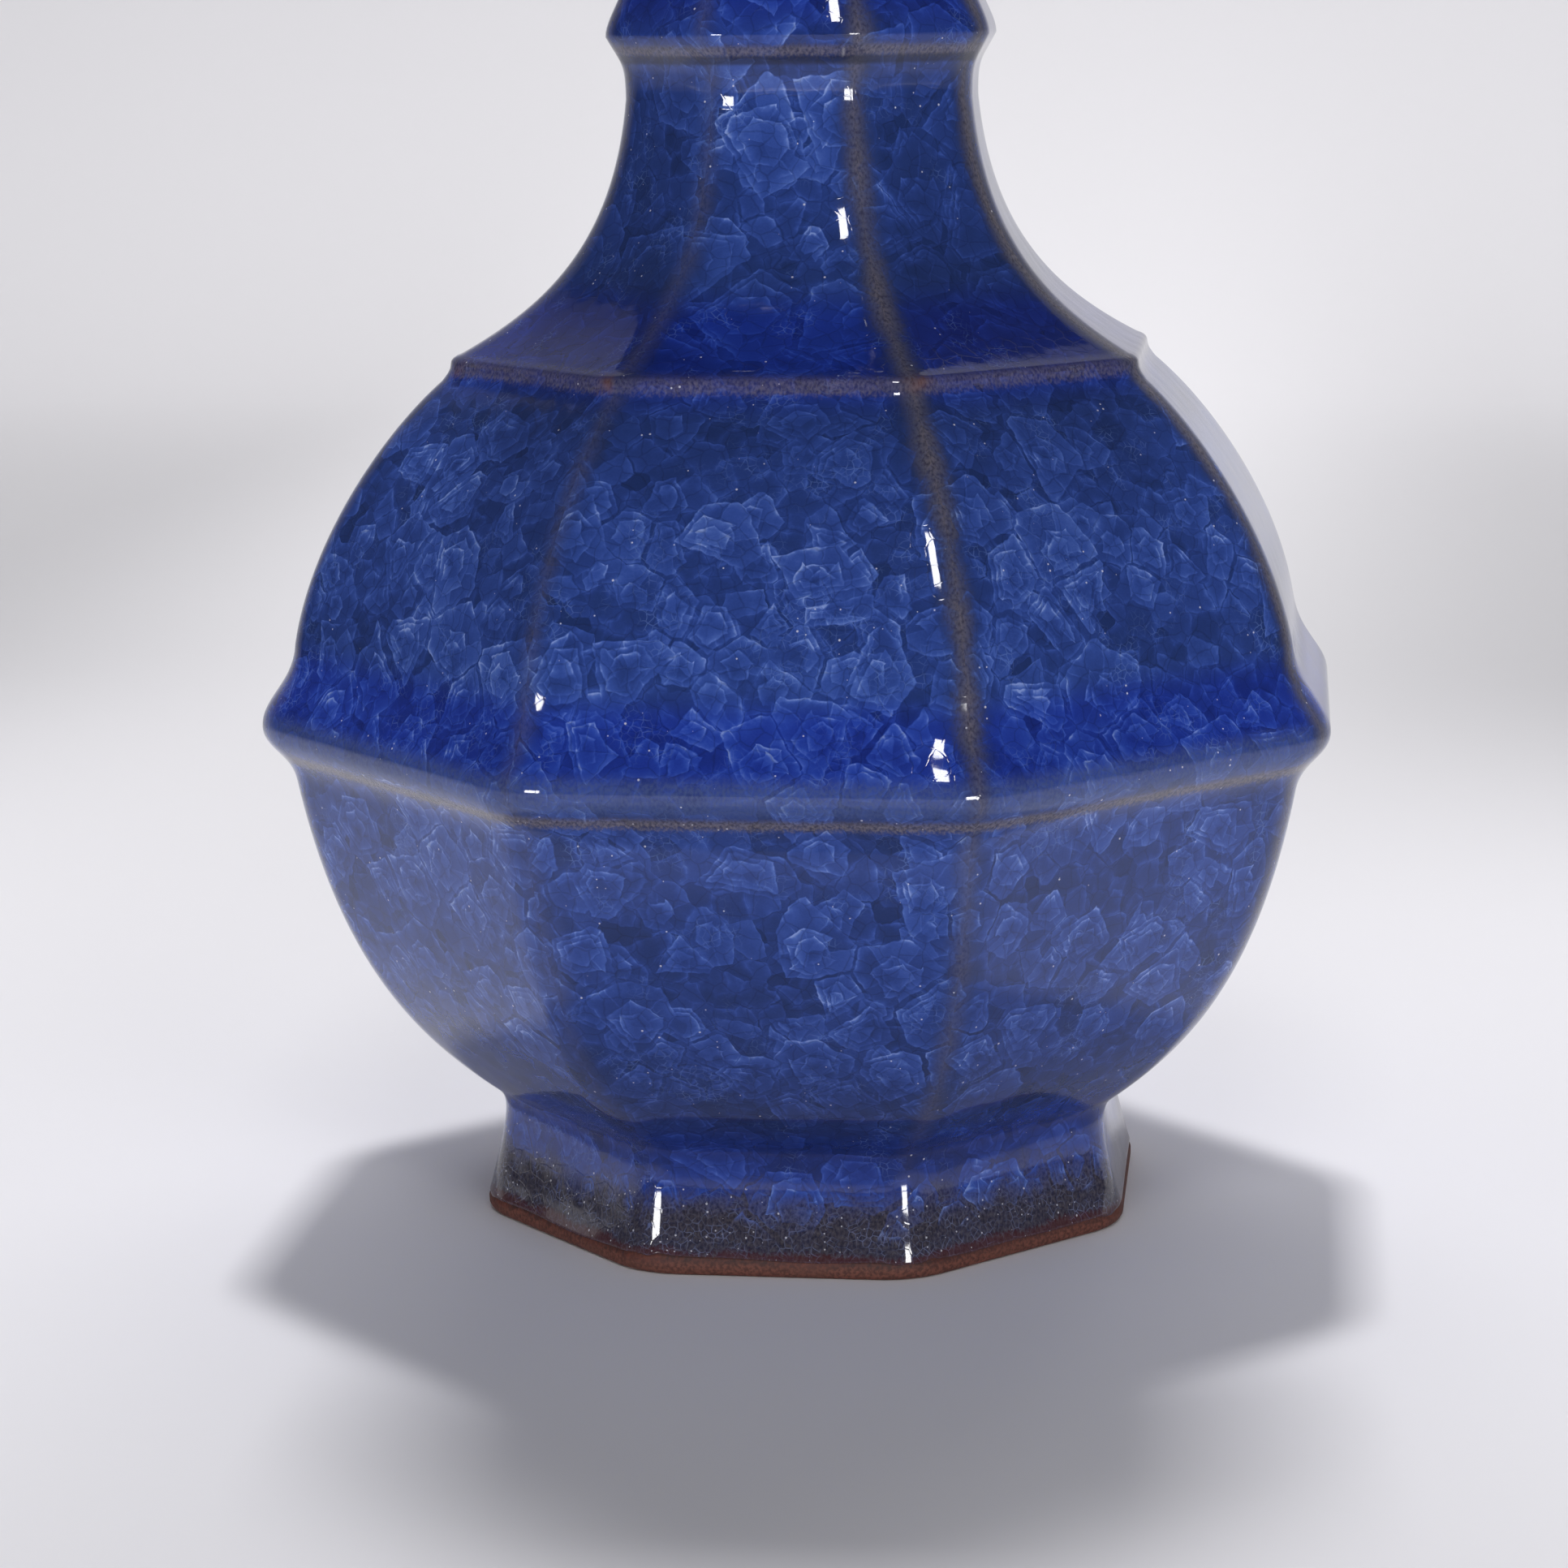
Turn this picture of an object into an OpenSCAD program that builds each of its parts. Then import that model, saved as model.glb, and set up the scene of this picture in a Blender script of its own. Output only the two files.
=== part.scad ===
// Octagonal bottle vase: clay sections joined one on another, under a thick crackled glaze.
// The plan is a regular octagon with rounded corners and a flat face to the front.
// Radii run from the axis to the rounded corners, and heights from the face it stands on.

/* [Faces] */
// Number of flat faces round the vase
faces = 8; // [6:1:12]
// Corner rounding at the foot
foot_corner = 15; // [8:0.5:20]
// Corner rounding on the bowl
bowl_corner = 11; // [6:0.5:20]
// Corner rounding at the belly ridge
belly_corner = 17; // [8:0.5:24]
// Corner rounding on the dome
dome_corner = 8; // [4:0.5:16]
// Corner rounding at the neck
neck_corner = 5; // [3:0.5:10]
// Corner rounding at the lip
lip_corner = 11; // [6:0.5:16]

/* [Foot] */
// Radius of the face that the vase stands on
rest_r = 49; // [46:0.25:54]
// Width of that face
rest_w = 5.7; // [4:0.1:7]
// How far the foot's widest line stands out past that face
foot_out = 1; // [0.5:0.1:2]
// Height of the foot's widest line
foot_edge_z = 1.8; // [1:0.1:2.5]
// Height of the bare clay band, where the glaze stops
bare_z = 3.2; // [2.8:0.1:5]
// Radius at the waist above the foot
waist_r = 47.1; // [42:0.1:50]
// Height of the waist
waist_z = 15.3; // [13:0.1:18]
// Thickness of the foot ring and its glaze under the base
foot_wall = 6.6; // [5.5:0.1:8]
// Chamfer inside the resting face
foot_chamfer = 0.8; // [0.4:0.1:1.5]

/* [Base] */
// Height of the base's underside
base_z = 10.5; // [9:0.25:12]
// Thickness of the base
base_t = 6; // [5:0.25:7]
// How far in from the waist the flat floor inside ends
floor_in = 11.1; // [9:0.1:16]

/* [Bowl] */
// Radius at the foot of the bowl
bowl_foot_r = 49.7; // [48:0.1:54]
// Height of the bend between the waist and the foot of the bowl
bend_h = 4.1; // [3.5:0.1:6]
// Radius at the top of the bowl, under the ridge
bowl_top_r = 76.2; // [68:0.1:86]
// Height of the bowl, from its foot to the ridge
bowl_h = 47.1; // [40:0.1:56]
// How far the belly ridge stands out past the top of the bowl
ridge_out = 4.6; // [3.5:0.1:6]
// Height of the ridge's underside
ridge_under_h = 7.8; // [6:0.1:10]
// Height of the ridge's upper side
ridge_over_h = 12; // [9:0.1:15]

/* [Dome] */
// How far in from the belly ridge the dome starts
dome_in = 5.1; // [4:0.1:7]
// Height of the dome
dome_h = 36.4; // [30:0.1:44]
// Radius of the shoulder ridge
shoulder_r = 52.1; // [46:0.1:60]
// How far the top of the dome stands out past the shoulder ridge
dome_top_out = 1.3; // [1:0.1:2.5]
// Height from the top of the dome to the shoulder ridge
shoulder_h = 2.4; // [2:0.1:3.5]

/* [Neck] */
// How far in from the shoulder ridge the flare of the neck starts
flare_in = 1.6; // [1.2:0.1:2.5]
// Height from the shoulder ridge to the start of the flare
turn_h = 1.3; // [1:0.1:2]
// Height of the flare
flare_h = 35.1; // [30:0.1:42]
// Radius of the neck below the ring
neck_r = 25.7; // [23:0.1:30]
// How far the ring stands out past the neck
ring_out = 2.8; // [2:0.1:4]
// Height of the ring's underside
ring_under_h = 8.7; // [7:0.1:11]
// Height of the ring's upper side
ring_over_h = 9.8; // [8:0.1:12]
// Radius of the neck above the ring
over_ring_r = 24.8; // [22:0.1:28]
// Radius of the slimmest place in the upper neck
slim_r = 22.6; // [20:0.1:25]
// Height from the ring's upper side to that place
slim_h = 23; // [18:0.5:28]

/* [Mouth] */
// Radius of the mouth over the lip
mouth_r = 54; // [46:0.25:60]
// Whole height of the vase
height = 275; // [250:0.5:300]
// Rounding of the lip, half its thickness
lip_round = 1.8; // [1.6:0.05:2.2]

/* [Walls] */
// Clay wall in the bowl and the dome
wall = 4.5; // [3.5:0.1:5.5]
// Clay wall in the neck
neck_wall = 3.4; // [2.8:0.1:4.2]
// Clay wall just under the lip
lip_wall = 2; // [1.8:0.05:2.4]
// Glaze on the outside
glaze_t = 1.2; // [0.8:0.05:1.5]
// Glaze where it thins out at the foot
glaze_edge_t = 0.5; // [0.3:0.05:0.7]
// Glaze over the lip
lip_glaze_t = 0.7; // [0.5:0.05:0.8]
// Glaze inside the vase and under the base
lining_t = 0.6; // [0.4:0.05:0.8]
// Width of the key that centres one section on the next
key_w = 2; // [1.4:0.1:2.4]
// Height of that key
key_h = 1.2; // [0.8:0.1:1.5]

/* [Hidden] */
arc_steps = 2;
key_taper_share = 0.2;
lip_steps = 5;
lip_start = -45;
lip_end = 180;

// Handles of each curved stretch, as shares of its width and of its height
splay_shares = [[0.3, 0.3], [1, 0.75]];
bend_shares = [[0, 0.55], [0.45, 0.75]];
bowl_shares = [[0.39, 0.17], [0.8, 0.41]];
under_shares = [[0.15, 0.5], [1, 0.65]];
over_shares = [[0, 0.25], [0.75, 0.6]];
dome_shares = [[0.12, 0.4], [0.6, 0.8]];
shoulder_shares = [[0.5, 0.35], [1, 0.6]];
turn_shares = [[0, 0.45], [0.35, 0.8]];
flare_shares = [[0.46, 0.17], [0.91, 0.4]];
ring_under_shares = [[0, 0.6], [0.2, 0.55]];
ring_over_shares = [[0, 0.25], [0.7, 0.55]];
upper_shares = [[0.55, 0.3], [1, 0.6]];
mouth_shares = [[0, 0.45], [0.4, 0.82]];
fillet_shares = [[0.5, 0], [0.85, 0.45]];

// Where the stretches of the outer surface meet, as [radius, height], each one standing on the last
foot_edge = [rest_r + foot_out, foot_edge_z];
waist = [waist_r, waist_z];
bowl_foot = [bowl_foot_r, waist.y + bend_h];
bowl_top = [bowl_top_r, bowl_foot.y + bowl_h];
belly = [bowl_top_r + ridge_out, bowl_top.y + ridge_under_h];
dome_foot = [belly.x - dome_in, belly.y + ridge_over_h];
dome_top = [shoulder_r + dome_top_out, dome_foot.y + dome_h];
shoulder = [shoulder_r, dome_top.y + shoulder_h];
flare = [shoulder_r - flare_in, shoulder.y + turn_h];
neck = [neck_r, flare.y + flare_h];
ring = [neck_r + ring_out, neck.y + ring_under_h];
over_ring = [over_ring_r, ring.y + ring_over_h];
slim = [slim_r, over_ring.y + slim_h];
lip_centre = [mouth_r - lip_round, height - lip_round];
lip_arc = [for (i = [0:lip_steps])
    let (turn = lip_start + (lip_end - lip_start) * i / lip_steps)
    lip_centre + lip_round * [cos(turn), sin(turn)]];

// Outer surface of the glaze, running upwards
splay_line = stretch(foot_edge, waist, splay_shares, 5);
bowl_line = stretch(bowl_foot, bowl_top, bowl_shares, 8);
dome_line = stretch(dome_foot, dome_top, dome_shares, 8);
flare_line = stretch(flare, neck, flare_shares, 9);
upper_line = stretch(over_ring, slim, upper_shares, 3);
mouth_line = stretch(slim, lip_arc[0], mouth_shares, 8);
outline = concat(
    splay_line,
    inside_of(stretch(waist, bowl_foot, bend_shares, 4)),
    bowl_line,
    inside_of(stretch(bowl_top, belly, under_shares, 5)),
    [belly],
    inside_of(stretch(belly, dome_foot, over_shares, 5)),
    dome_line,
    inside_of(stretch(dome_top, shoulder, shoulder_shares, 2)),
    [shoulder],
    inside_of(stretch(shoulder, flare, turn_shares, 2)),
    flare_line,
    inside_of(stretch(neck, ring, ring_under_shares, 5)),
    [ring],
    inside_of(stretch(ring, over_ring, ring_over_shares, 5)),
    upper_line,
    inside_of(mouth_line),
    lip_arc);

// Thickness of the outer glaze and of the clay behind it, and the corner rounding, by height
glaze_depths = [[bare_z, glaze_edge_t], [waist.y, glaze_t], [slim.y, glaze_t], [height, lip_glaze_t]];
wall_depths = [[dome_top.y, wall], [neck.y, neck_wall], [slim.y, neck_wall], [height, lip_wall]];
corners = [[0, foot_corner], [waist.y, foot_corner], [belly.y / 2, bowl_corner],
           [bowl_top.y, bowl_corner], [belly.y, belly_corner], [dome_foot.y, dome_corner],
           [shoulder.y, dome_corner], [neck.y, neck_corner], [slim.y, neck_corner],
           [height, lip_corner]];

// The part of the outline that the glaze covers, and the clay surface under it
bare = [radius_at(splay_line, bare_z), bare_z];
glazed = concat([bare], [for (p = outline) if (p.y > bare_z) p]);
clay = inset(glazed, glaze_depths, 0);

// The recess under the base and the flat floor over it
foot_inner_r = rest_r - rest_w - foot_chamfer;
recess_r = waist_r - foot_wall;
floor_edge = [waist_r - floor_in, base_z + base_t];

// The inside follows the smooth stretches only, so no ridge shows there
cavity_foot = inset(bowl_line, glaze_depths, 1)[0];
cavity = concat(
    inside_of(stretch(floor_edge, cavity_foot, fillet_shares, 4)),
    inset(bowl_line, glaze_depths, 1),
    inset(dome_line, glaze_depths, 1),
    inset(flare_line, glaze_depths, 1),
    inset(upper_line, glaze_depths, 1),
    inside_of(inset(mouth_line, glaze_depths, 1)),
    [last(clay)]);
lined = concat([floor_edge], cavity);
lining = [for (i = [0:len(lined) - 2]) lined[i] + lining_t * inward(lined, i)];
lining_top = last(glazed);

// Points along a line and between its ends

function last(line) = line[len(line) - 1];

function between(a, b, share) = [a.x + (b.x - a.x) * share.x, a.y + (b.y - a.y) * share.y];

function bezier(a, b, c, d, t) =
    pow(1 - t, 3) * a + 3 * t * pow(1 - t, 2) * b + 3 * pow(t, 2) * (1 - t) * c + pow(t, 3) * d;

// A curve from a to b, both ends included
function stretch(a, b, shares, steps) =
    [for (i = [0:steps]) bezier(a, between(a, b, shares[0]), between(a, b, shares[1]), b, i / steps)];

function inside_of(line) = [for (i = [1:len(line) - 2]) line[i]];

function reversed(line) = [for (i = [len(line) - 1:-1:0]) line[i]];

function radius_at(line, z) = lookup(z, [for (p = line) [p.y, p.x]]);

// Direction square to a line at its point i, towards the inside of the vase
function inward(line, i) =
    let (run = line[min(i + 1, len(line) - 1)] - line[max(i - 1, 0)])
    [-run.y, run.x] / norm(run);

// A line moved inwards through the glaze and, with layers of 1, through the clay too
function inset(line, glaze, layers) =
    [for (i = [0:len(line) - 1])
        line[i] + (lookup(line[i].y, glaze) + layers * lookup(line[i].y, wall_depths)) * inward(line, i)];

// The flat seat between two sections, from outside to inside, with the key in its middle
function seat(z) =
    let (
        out = radius_at(clay, z),
        in = z > floor_edge.y ? radius_at(cavity, z) : z > base_z ? floor_edge.x : recess_r,
        mid = (out + in) / 2,
        half = key_w / 2,
        top = half - key_w * key_taper_share)
    [[out, z], [mid + half, z], [mid + top, z + key_h], [mid - top, z + key_h], [mid - half, z], [in, z]];

function stretch_between(line, low, high) = [for (p = line) if (p.y > low && p.y < high) p];

// A clay section from one seat to the next
function section(low, high) = concat(
    stretch_between(clay, low, high),
    seat(high),
    reversed(stretch_between(cavity, low, high)),
    reversed(seat(low)));

// One level of the plan: an octagon with its rounded corners out to radius r
function plan(r, corner) =
    [for (side = [0:faces - 1], i = [0:arc_steps])
        let (
            middle = (side + 0.5) * 360 / faces,
            turn = middle + (i / arc_steps - 0.5) * 360 / faces)
        (r - corner) * [cos(middle), sin(middle)] + corner * [cos(turn), sin(turn)]];

function level(p) = [for (q = plan(p.x, lookup(p.y, corners))) [q.x, q.y, p.y]];

// Carries a line of [radius, height] points round the plan, as a ring or as a closed body
module octagonal(line, open_ends = false) {
    per = faces * (arc_steps + 1);
    last_level = len(line) - (open_ends ? 2 : 1);
    skin = [for (k = [0:last_level], j = [0:per - 1])
        let (
            a = k * per + j,
            b = k * per + (j + 1) % per,
            c = (k + 1) % len(line) * per + (j + 1) % per,
            d = (k + 1) % len(line) * per + j)
        each [[a, d, b], [b, d, c]]];
    caps = open_ends
        ? [[for (j = [0:per - 1]) j],
           [for (j = [per - 1:-1:0]) (len(line) - 1) * per + j]]
        : [];
    polyhedron([for (p = line) each level(p)], concat(skin, caps), convexity = 10);
}

module foot_ring() {
    color("saddlebrown")
    octagonal(concat(
        [[rest_r, 0], foot_edge, bare],
        stretch_between(clay, bare_z - glaze_edge_t, base_z),
        seat(base_z),
        [[foot_inner_r, foot_chamfer], [foot_inner_r + foot_chamfer, 0]]));
}

module base_slab() {
    color("peru")
    octagonal(concat(
        reversed(seat(base_z)),
        stretch_between(clay, base_z, floor_edge.y),
        seat(floor_edge.y)),
        open_ends = true);
}

module lower_body() {
    color("sienna") octagonal(section(floor_edge.y, belly.y));
}

module upper_body() {
    color("peru") octagonal(section(belly.y, shoulder.y));
}

module lower_neck() {
    color("sienna") octagonal(section(shoulder.y, ring.y));
}

module upper_neck() {
    color("peru")
    octagonal(concat(
        stretch_between(clay, ring.y, height),
        reversed([for (p = cavity) if (p.y > ring.y && p.y < last(clay).y) p]),
        reversed(seat(ring.y))));
}

module outer_glaze() {
    color("royalblue") octagonal(concat(glazed, reversed(clay)));
}

module lining_glaze() {
    color("steelblue")
    octagonal(concat(lined, [lining_top], reversed(lining)), open_ends = true);
}

module base_glaze() {
    color("steelblue")
    octagonal([[recess_r, base_z - lining_t], [recess_r, base_z]], open_ends = true);
}

foot_ring();
base_slab();
lower_body();
upper_body();
lower_neck();
upper_neck();
outer_glaze();
lining_glaze();
base_glaze();
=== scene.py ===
import math

import bmesh
import bpy
from mathutils import Matrix, Vector


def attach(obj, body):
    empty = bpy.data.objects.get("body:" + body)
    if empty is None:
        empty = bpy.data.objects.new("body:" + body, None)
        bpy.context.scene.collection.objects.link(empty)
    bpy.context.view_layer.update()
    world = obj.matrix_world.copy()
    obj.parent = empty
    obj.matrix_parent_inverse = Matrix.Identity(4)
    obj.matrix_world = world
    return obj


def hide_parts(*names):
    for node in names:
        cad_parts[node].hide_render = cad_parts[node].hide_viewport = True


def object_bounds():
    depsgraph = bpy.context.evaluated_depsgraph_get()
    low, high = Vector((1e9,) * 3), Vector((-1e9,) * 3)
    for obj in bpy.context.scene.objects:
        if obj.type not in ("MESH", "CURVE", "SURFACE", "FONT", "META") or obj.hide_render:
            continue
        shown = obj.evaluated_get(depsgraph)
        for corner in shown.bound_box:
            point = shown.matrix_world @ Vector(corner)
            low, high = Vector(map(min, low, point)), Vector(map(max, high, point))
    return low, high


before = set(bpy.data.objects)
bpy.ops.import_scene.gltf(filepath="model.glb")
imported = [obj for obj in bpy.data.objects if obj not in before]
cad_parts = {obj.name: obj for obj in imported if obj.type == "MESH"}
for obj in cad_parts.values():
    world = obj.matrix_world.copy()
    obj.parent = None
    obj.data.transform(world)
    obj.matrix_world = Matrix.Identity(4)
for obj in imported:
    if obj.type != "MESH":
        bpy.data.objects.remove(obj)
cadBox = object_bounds()
scene = bpy.context.scene
mm = 0.001
vaseTop = cadBox[1].z / mm
print("vase frame loaded, top at", round(vaseTop, 1), "mm")


# Shape of the vase

vase = {
    "faces": 8,
    "stepsPerFace": 24,
    "flatSteps": 5,  # of the 12 in half a face; the rest go round the corner
    "mostRound": 0.9,  # the most that a corner may take of the distance to the middle
    # where the stretches of the outline meet: radius out to the rounded corners and height, in mm
    "marks": {
        "footEdge": (50.0, 1.8),
        "waist": (47.1, 15.3),
        "bowlFoot": (49.7, 19.4),
        "bowlTop": (76.2, 66.5),
        "belly": (80.8, 74.3),
        "domeFoot": (75.7, 86.3),
        "domeTop": (53.4, 122.7),
        "shoulder": (52.1, 125.1),
        "flare": (50.5, 126.4),
        "neck": (25.7, 161.5),
        "ring": (28.5, 170.2),
        "overRing": (24.8, 180.0),
        "slim": (22.6, 203.0),
    },
    # from which mark to which, the curve's two handles as shares of its width and height, and steps
    "stretches": [
        ("footEdge", "waist", (0.3, 0.3), (1, 0.75), 13),
        ("waist", "bowlFoot", (0, 0.55), (0.45, 0.75), 7),
        ("bowlFoot", "bowlTop", (0.39, 0.17), (0.8, 0.41), 42),
        ("bowlTop", "belly", (0.15, 0.5), (1, 0.65), 11),
        ("belly", "domeFoot", (0, 0.33), (0.92, 0.47), 14),
        ("domeFoot", "domeTop", (0.12, 0.4), (0.6, 0.8), 34),
        ("domeTop", "shoulder", (0.5, 0.35), (1, 0.6), 4),
        ("shoulder", "flare", (0, 0.45), (0.35, 0.8), 4),
        ("flare", "neck", (0.46, 0.17), (0.91, 0.4), 36),
        ("neck", "ring", (0, 0.6), (0.2, 0.55), 12),
        ("ring", "overRing", (0, 0.25), (0.7, 0.55), 12),
        ("overRing", "slim", (0.55, 0.3), (1, 0.6), 14),
        ("slim", "lip", (0, 0.45), (0.4, 0.82), 40),
    ],
    "mouthRadius": 54.0,
    "lipRound": 1.8,
    "lipTurn": (-45, 180),  # in degrees, from the outside over the top to the inside
    "lipSteps": 12,
    # by height: how round the octagon's corners are, how thick the coat and how thick the wall
    "corners": [(0, 13), (4, 9), (12, 7), (19.4, 12), (37, 11), (66.5, 11), (74.3, 17), (80, 17),
                (86.3, 9), (125.1, 8), (140, 11), (161.5, 13), (203, 9), (275, 11)],
    "glaze": [(2.5, 0.5), (15.3, 1.2), (203, 1.2), (275, 0.7)],
    "wall": [(122.7, 4.5), (161.5, 3.4), (203, 3.4), (275, 2.0)],
    "insideStretches": ["bowlFoot", "domeFoot", "flare", "overRing", "slim"],
}


def readTable(table, at):
    # value of a table of pairs at one place, straight between its rows
    if at <= table[0][0]:
        return table[0][1]
    for (low, lowValue), (high, highValue) in zip(table, table[1:]):
        if at <= high:
            return lowValue + (highValue - lowValue) * (at - low) / (high - low)
    return table[-1][1]


def curveBetween(start, end, firstShare, secondShare, steps):
    # a smooth curve with two handles, as points of radius and height
    a = Vector(start)
    d = Vector(end)
    run = d - a
    b = a + Vector((run.x * firstShare[0], run.y * firstShare[1]))
    c = a + Vector((run.x * secondShare[0], run.y * secondShare[1]))
    points = []
    for i in range(steps + 1):
        t = i / steps
        points.append(a * (1 - t) ** 3 + b * 3 * t * (1 - t) ** 2 + c * 3 * t * t * (1 - t) + d * t ** 3)
    return points


def insetLine(line, tables):
    # the same line further in, by the depths that the tables give at each height
    moved = []
    for i, point in enumerate(line):
        run = line[min(i + 1, len(line) - 1)] - line[max(i - 1, 0)]
        inward = Vector((-run.y, run.x)).normalized()
        moved.append(point + inward * sum(readTable(table, point.y) for table in tables))
    return moved


def lipLine():
    # the round lip, from its outside over the top
    middle = Vector((vase["mouthRadius"] - vase["lipRound"], vaseTop - vase["lipRound"]))
    first, last = vase["lipTurn"]
    line = []
    for i in range(vase["lipSteps"] + 1):
        turn = math.radians(first + (last - first) * i / vase["lipSteps"])
        line.append(middle + vase["lipRound"] * Vector((math.cos(turn), math.sin(turn))))
    return line


def outerLine(marks):
    line = []
    for start, end, firstShare, secondShare, steps in vase["stretches"]:
        line += curveBetween(marks[start], marks[end], firstShare, secondShare, steps)[:-1]
    return line


def smoothLine(marks, names):
    # the stretches that the inside of the vase follows, without the ridges
    line = []
    for start, end, firstShare, secondShare, steps in vase["stretches"]:
        if start in names:
            line += curveBetween(marks[start], marks[end], firstShare, secondShare, steps // 2)
    return line


def octagonPlace(radius, height, step):
    # where a step round the plan lies on the octagon with round corners, and how far it is from
    # the middle of its face; also how far it is from there to the corner
    half = vase["stepsPerFace"] // 2
    corner = min(readTable(vase["corners"], height), radius * vase["mostRound"])
    halfTurn = math.pi / vase["faces"]
    flat = (radius - corner) * math.sin(halfTurn)
    out = (radius - corner) * math.cos(halfTurn) + corner
    side = 1 if step >= 0 else -1
    count = abs(step)
    if count <= vase["flatSteps"]:
        across = flat * count / vase["flatSteps"]
        travelled = across
    else:
        turn = halfTurn * (count - vase["flatSteps"]) / (half - vase["flatSteps"])
        across = flat + corner * math.sin(turn)
        out += corner * (math.cos(turn) - 1)
        travelled = flat + corner * turn
    return out, side * across, side * travelled, flat + corner * halfTurn


turning = {
    "merge": 1e-6,  # in metres
    "axis": 0.01,  # nearer to it than this, in mm, a point is on the axis
    "mapStep": 0.1,  # how far apart the faces lie in the map of the glaze, in metres
}


def turnOctagonal(name, line, closed, lowEdge=None):
    # spins a line of (radius, height) points in mm round the axis, then sets each level on the octagon
    bm = bmesh.new()
    along = bm.verts.layers.float.new("along")
    travelled = 0
    points = []
    for i, point in enumerate(line):
        if i:
            travelled += (point - line[i - 1]).length
        vert = bm.verts.new((point.x * mm, 0, point.y * mm))
        vert[along] = travelled * mm
        points.append(vert)
    pairs = list(zip(points, points[1:]))
    if closed:
        pairs.append((points[-1], points[0]))
    edges = [bm.edges.new(pair) for pair in pairs]
    perFace = vase["stepsPerFace"]
    steps = vase["faces"] * perFace
    bmesh.ops.spin(bm, geom=points + edges, cent=(0, 0, 0), axis=(0, 0, 1), dvec=(0, 0, 0),
                   angle=2 * math.pi, steps=steps, use_merge=True, use_duplicate=False, space=Matrix())
    bmesh.ops.remove_doubles(bm, verts=bm.verts, dist=turning["merge"])
    turned = {}
    for vert in bm.verts:
        radius = math.hypot(vert.co.x, vert.co.y) / mm
        if radius < turning["axis"]:
            turned[vert] = (None, 0, vert.co.z / mm)
            continue
        step = round(math.atan2(vert.co.y, vert.co.x) / (2 * math.pi) * steps) % steps
        turned[vert] = (step, radius, vert.co.z / mm)
    for vert, (step, radius, height) in turned.items():
        if step is None:
            continue
        face = round(step / perFace) % vase["faces"]
        near = (step - face * perFace + steps // 2) % steps - steps // 2
        out, across, reach, halfFace = octagonPlace(radius, height, near)
        azimuth = 2 * math.pi * face / vase["faces"]
        outward = Vector((math.cos(azimuth), math.sin(azimuth), 0))
        sideways = Vector((-math.sin(azimuth), math.cos(azimuth), 0))
        vert.co = (outward * out + sideways * across) * mm + Vector((0, 0, vert.co.z))
        if lowEdge:
            vert.co.z += lowEdge(2 * math.pi * step / steps, height) * mm
    # one map has the place on the glaze, the other how far it is to the nearest corner of the octagon
    glazeMap = bm.loops.layers.uv.new("glazeMap")
    edgeMap = bm.loops.layers.uv.new("edgeMap")
    for face in bm.faces:
        middle = face.calc_center_median()
        side = round(math.atan2(middle.y, middle.x) / (2 * math.pi) * vase["faces"]) % vase["faces"]
        for loop in face.loops:
            step, radius, height = turned[loop.vert]
            if step is None:
                loop[glazeMap].uv = (side * turning["mapStep"], loop.vert[along])
                loop[edgeMap].uv = (1, 1)  # far from any corner
                continue
            near = (step - side * perFace + steps // 2) % steps - steps // 2
            out, across, reach, halfFace = octagonPlace(radius, height, near)
            loop[glazeMap].uv = (side * turning["mapStep"] + reach * mm, loop.vert[along])
            loop[edgeMap].uv = ((halfFace - abs(reach)) * mm, halfFace * mm)
    bmesh.ops.recalc_face_normals(bm, faces=bm.faces)
    for face in bm.faces:
        face.smooth = True
    mesh = bpy.data.meshes.new(name)
    bm.to_mesh(mesh)
    bm.free()
    piece = bpy.data.objects.new(name, mesh)
    scene.collection.objects.link(piece)
    print(name, "has", len(mesh.vertices), "vertices")
    return piece


# The coats and the bare foot

coat = {
    "bare": 2.5,  # where the outer coat stops, in mm above the foot
    "waver": 0.55,  # how far that edge wanders up and down
    "waverReach": 2.2,
    "waves": [(0.5, 3, 0.6), (0.35, 7, 2.1), (0.3, 17, 0), (0.22, 31, 1.3)],  # share, number and start
    "lining": 0.6,
    "baseHeight": 10.5,
    "baseThickness": 6.0,
    "floorRadius": 36.0,
    "recessRadius": 40.5,
    "discSteps": 8,
    "fillet": ((0.5, 0), (0.85, 0.45), 8),  # the handles and steps of the curve from floor to wall
}

foot = {
    # outline of the bare clay, as radius and height in mm, outside and inside the ring
    "outside": [(49.0, 0), (49.55, 0.25), (49.9, 0.8), (49.95, 1.6), (49.7, 2.3), (49.3, 3.0), (49.0, 3.9)],
    "underCoat": 4.2,
    "topRadius": 45.9,
    "inside": [(42.4, 1.3), (42.7, 0.6), (43.3, 0)],
}


def waver(turn, height):
    # lifts and drops the lowest edge of the coat, less and less further up
    fade = max(0, 1 - abs(height - coat["bare"]) / coat["waverReach"])
    waves = sum(share * math.sin(number * turn + start) for share, number, start in coat["waves"])
    return coat["waver"] * waves * fade


def disc(radius, height):
    # points from the axis out to the edge of a flat disc
    return [Vector((radius * i / coat["discSteps"], height)) for i in range(coat["discSteps"] + 1)]


lip = lipLine()
marks = dict(vase["marks"], lip=tuple(lip[0]))
outline = outerLine(marks) + lip
radiusAtBare = readTable([(p.y, p.x) for p in outline if p.y < coat["baseHeight"]], coat["bare"])
glazed = [Vector((radiusAtBare, coat["bare"]))] + [p for p in outline if p.y > coat["bare"]]
clayLine = insetLine(glazed, [vase["glaze"]])
outerGlaze = turnOctagonal("crackle_coat", glazed + clayLine[::-3], True, waver)

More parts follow.
